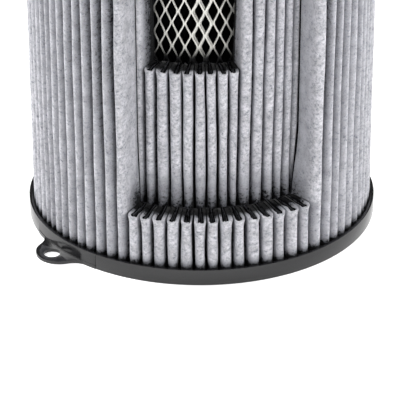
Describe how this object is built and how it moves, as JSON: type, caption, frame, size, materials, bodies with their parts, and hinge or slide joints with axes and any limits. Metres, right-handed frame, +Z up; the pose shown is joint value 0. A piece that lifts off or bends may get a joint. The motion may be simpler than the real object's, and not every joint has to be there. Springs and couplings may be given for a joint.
{
  "type": "carbon air filter",
  "caption": "Round pleated carbon air filter with nested pleated packs on an expanded-metal core, black end caps with hanging ears, and a stepped cutaway window.",
  "frame": {"origin": "centre of the bottom cap's underside", "axes": "+Z up the filter's axis towards the outlet, -Y towards the cutaway window"},
  "size_m": [0.23, 0.23, 0.27],
  "materials": {
    "cap_plastic": "glossy black moulded plastic",
    "potting": "cast black polyurethane, satin",
    "nonwoven": "pale grey needled nonwoven, matt and mottled",
    "carbon": "black carbon-loaded felt, matt",
    "mesh_metal": "off-white coated expanded steel"
  },
  "bodies": {
    "root": {"bottom_cap": "cap_plastic", "bottom_potting": "potting", "outer_pleats": "nonwoven", "inner_pleats": "nonwoven", "mesh_core": "mesh_metal", "top_potting": "potting", "top_cap": "cap_plastic"}
  },
  "joints": []
}
